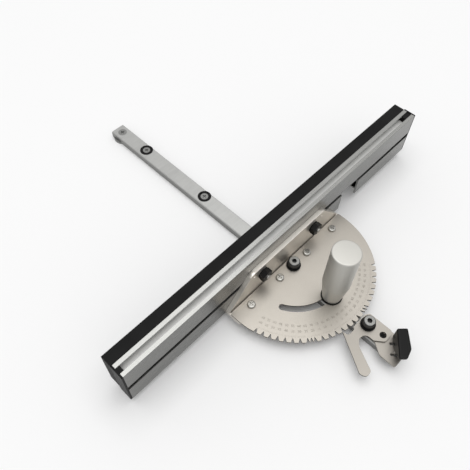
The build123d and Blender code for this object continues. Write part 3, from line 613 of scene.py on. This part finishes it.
class GAUGE_OT_fasteners(bpy.types.Operator):
    """Finish the screws, nuts, washers, bushes, spacers and spring, with a painted highlight on the
    socket screws' tops and the spacers' dull tone partly painted shade
    """
    bl_idname = "gauge.fasteners"
    bl_label = "Fasteners"

    def execute(self, context):
        colours = context.scene.gauge_colours
        dress(BLACK_METAL_NODES, blackened_metal("black_oxide", colours.black_metal,
                                                 roughness=0.34))
        # Painted highlight on the socket screws' tops
        for name in SOCKET_SCREW_NODES:
            dress((name,), worn_top(name + "_oxide", colours.black_metal, colours.worn,
                                    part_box(name)[1].z))
        dress(BRIGHT_NODES, grained_metal("zinc_plate", colours.bright, roughness=0.26,
                                          grain=(1200, 1200, 1200)))
        # The spacers' and spring's dull tone is partly painted shade under the plates
        dress(DULL_SHADED_NODES, grained_metal("dull_steel_and_shade", colours.dull, roughness=0.4,
                                        grain=FINE_GRAIN))
        dress(EXPANSION_SCREW_NODES,
              grained_metal("plain_steel", PLAIN_STEEL * Vector(colours.bar), roughness=0.4,
                            grain=FINE_GRAIN))
        dress(BUSH_NODES, grained_metal("turned_brass", colours.brass, roughness=0.3,
                                        grain=(300, 300, 4000)))
        return {"FINISHED"}


class GAUGE_OT_handle(bpy.types.Operator):
    """Turn the handle: a straight taper, a soft bend, a straight body and a rounded top edge"""
    bl_idname = "gauge.handle"
    bl_label = "Handle"

    def execute(self, context):
        sizes = context.scene.gauge_handle
        low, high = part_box("handle_grip")
        centre = ((low.x + high.x) / 2, (low.y + high.y) / 2)
        radius = (high.x - low.x) / 2
        lean = math.atan2(radius - sizes.foot_radius, sizes.shoulder - low.z)
        reach = sizes.shoulder_round * math.tan(lean / 2)
        bend = arc((radius - sizes.shoulder_round, sizes.shoulder + reach), sizes.shoulder_round,
                   -math.degrees(lean), 0, steps=9)
        rim = arc((radius - sizes.edge, high.z - sizes.edge), sizes.edge, 0, 90, steps=10)
        profile = np.vstack([[[0, low.z], [sizes.foot_radius, low.z]], bend, rim, [[0, high.z]]])
        points, faces = turned_surface(profile, centre, sizes.sides)
        satin = grained_metal("turned_aluminium", context.scene.gauge_colours.handle, roughness=0.5,
                              grain=(2400, 2400, 2400), stain=0.02, depth=0.01 * MM)
        piece = new_piece("handle_body", points, faces, satin, "handle",
                          smooth=True)
        split = piece.modifiers.new("corners", "EDGE_SPLIT")
        split.split_angle = SHARP_CORNER
        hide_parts("handle_grip")
        return {"FINISHED"}


class GAUGE_OT_scale(bpy.types.Operator):
    """Etch the degree lines and the two rows of numbers on the protractor plate"""
    bl_idname = "gauge.scale"
    bl_label = "Etched scale"

    def execute(self, context):
        sizes = context.scene.gauge_scale
        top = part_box("protractor_plate")[1].z
        etch = blackened_metal("etching", context.scene.gauge_colours.etch, roughness=0.6)
        degrees = np.arange(-max(STOPS), max(STOPS) + 1)
        points, faces = thin_boxes(sizes.line_end - sizes.line_length, sizes.line_end,
                                   sizes.line_width, INDEX_DIRECTION + degrees,
                                   top - sizes.relief, top + sizes.relief)
        new_piece("scale_lines", points, faces, etch, "head")
        signed = sorted({sign * stop for stop in STOPS for sign in (-1, 1)})
        rows = (("scale_numbers_outer", sizes.outer_row, lambda stop: str(abs(stop))),
                ("scale_numbers_inner", sizes.inner_row, lambda stop: str(90 - abs(stop))))
        for name, radius, label in rows:
            labels = [(label(stop), INDEX_DIRECTION + stop) for stop in signed]
            points, faces = etched_numbers(labels, radius, sizes.number_height, sizes.relief, top)
            new_piece(name, points, faces, etch, "head")
        return {"FINISHED"}


def paper_floor():
    """A round paper floor just under the gauge: rim points at middle + radius (cos a, sin a)."""
    rim = arc(STAGE_MIDDLE, STAGE_RADIUS, 0, 360, steps=STAGE_SIDES + 1)[:-1]
    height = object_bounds()[0].z - STAGE_GAP
    points = np.column_stack([rim, np.full(STAGE_SIDES, height)])
    mesh = bpy.data.meshes.new("floor")
    mesh.from_pydata(points.tolist(), [], [tuple(range(STAGE_SIDES))])
    floor = bpy.data.objects.new("floor", mesh)
    bpy.context.scene.collection.objects.link(floor)
    floor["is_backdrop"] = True
    paper = Finish("white_paper")
    paper.feed(paper.shader, {"Base Color": PAPER, "Roughness": 0.95, "Specular IOR Level": 0.0})
    mesh.materials.append(paper.material)


def studio_world(sky):
    """White all round for the camera and for mirrored and clear surfaces, and light of the sky's
    strength for the rest."""
    world = bpy.data.worlds.new("studio")
    world.use_nodes = True
    bpy.context.scene.world = world
    tree = world.node_tree
    light = tree.nodes["Background"]
    light.inputs["Color"].default_value = (1, 1, 1, 1)
    path = tree.nodes.new("ShaderNodeLightPath")
    seen = path.outputs["Is Camera Ray"]
    for kind in ("Is Glossy Ray", "Is Transmission Ray"):
        either = tree.nodes.new("ShaderNodeMath")
        either.operation = "MAXIMUM"
        tree.links.new(seen, either.inputs[0])
        tree.links.new(path.outputs[kind], either.inputs[1])
        seen = either.outputs[0]
    level = tree.nodes.new("ShaderNodeMapRange")
    level.inputs["To Min"].default_value = sky
    level.inputs["To Max"].default_value = 1.0
    tree.links.new(seen, level.inputs["Value"])
    tree.links.new(level.outputs["Result"], light.inputs["Strength"])


def overhead_lamp(power):
    """A square soft lamp that hangs over the stage's middle and faces straight down."""
    lamp = bpy.data.lights.new("overhead_lamp", "AREA")
    lamp.shape = "SQUARE"
    lamp.size = LAMP_SIZE
    lamp.energy = power
    holder = bpy.data.objects.new("overhead_lamp", lamp)
    bpy.context.scene.collection.objects.link(holder)
    holder.location = (*STAGE_MIDDLE, LAMP_HEIGHT)


def photo_camera():
    """The camera that took the photograph. Its turn and offset carry the gauge's frame into the
    camera's, whose y points down and z ahead, so both are undone and half a turn is added."""
    lens = bpy.data.cameras.new("camera")
    lens.sensor_width = CAMERA_SENSOR
    lens.lens = CAMERA_LENS
    lens.clip_start = 10 * MM
    camera = bpy.data.objects.new("camera", lens)
    bpy.context.scene.collection.objects.link(camera)
    turn = Vector(CAMERA_TURN)
    to_world = Quaternion(turn.normalized(), turn.length).inverted()
    camera.location = -(to_world @ Vector(CAMERA_OFFSET))
    camera.rotation_mode = "QUATERNION"
    camera.rotation_quaternion = to_world @ Quaternion((1, 0, 0), math.pi)
    bpy.context.scene.camera = camera


class GAUGE_OT_stage(bpy.types.Operator):
    """Lay the pale floor, light the studio and set the camera"""
    bl_idname = "gauge.stage"
    bl_label = "Stage"

    def execute(self, context):
        levels = context.scene.gauge_studio
        context.scene.view_settings.view_transform = "Standard"
        paper_floor()
        studio_world(levels.sky)
        overhead_lamp(levels.overhead)
        photo_camera()
        return {"FINISHED"}


PIECE_OPERATORS = (GAUGE_OT_bar, GAUGE_OT_plates, GAUGE_OT_fence, GAUGE_OT_boards,
                   GAUGE_OT_fasteners, GAUGE_OT_handle, GAUGE_OT_scale, GAUGE_OT_stage)
GROUPS = {"gauge_scale": ScaleSizes, "gauge_handle": HandleSizes, "gauge_colours": FinishColours,
          "gauge_studio": StudioLevels}


class GAUGE_PT_panel(bpy.types.Panel):
    """The steps that build the gauge's looks, and their sizes and colours"""
    bl_idname = "GAUGE_PT_panel"
    bl_label = "Miter gauge"
    bl_space_type = "VIEW_3D"
    bl_region_type = "UI"
    bl_category = "Miter gauge"

    def draw(self, context):
        for name, group in GROUPS.items():
            box = self.layout.box()
            for key in group.__annotations__:
                box.prop(getattr(context.scene, name), key)
        for operator in PIECE_OPERATORS:
            self.layout.operator(operator.bl_idname)


def register():
    """Register the property groups, operators and panel."""
    for group in (*GROUPS.values(), *PIECE_OPERATORS, GAUGE_PT_panel):
        bpy.utils.register_class(group)
    for name, group in GROUPS.items():
        setattr(bpy.types.Scene, name, PointerProperty(type=group))


def unregister():
    """Remove what register added."""
    for name in GROUPS:
        delattr(bpy.types.Scene, name)
    for group in (GAUGE_PT_panel, *reversed(PIECE_OPERATORS), *GROUPS.values()):
        bpy.utils.unregister_class(group)


def main():
    """Build every piece and the stage."""
    register()
    bpy.ops.gauge.bar()
    bpy.ops.gauge.plates()
    bpy.ops.gauge.fence()
    bpy.ops.gauge.boards()
    bpy.ops.gauge.fasteners()
    bpy.ops.gauge.handle()
    bpy.ops.gauge.scale()
    bpy.ops.gauge.stage()


if __name__ == "__main__":
    main()
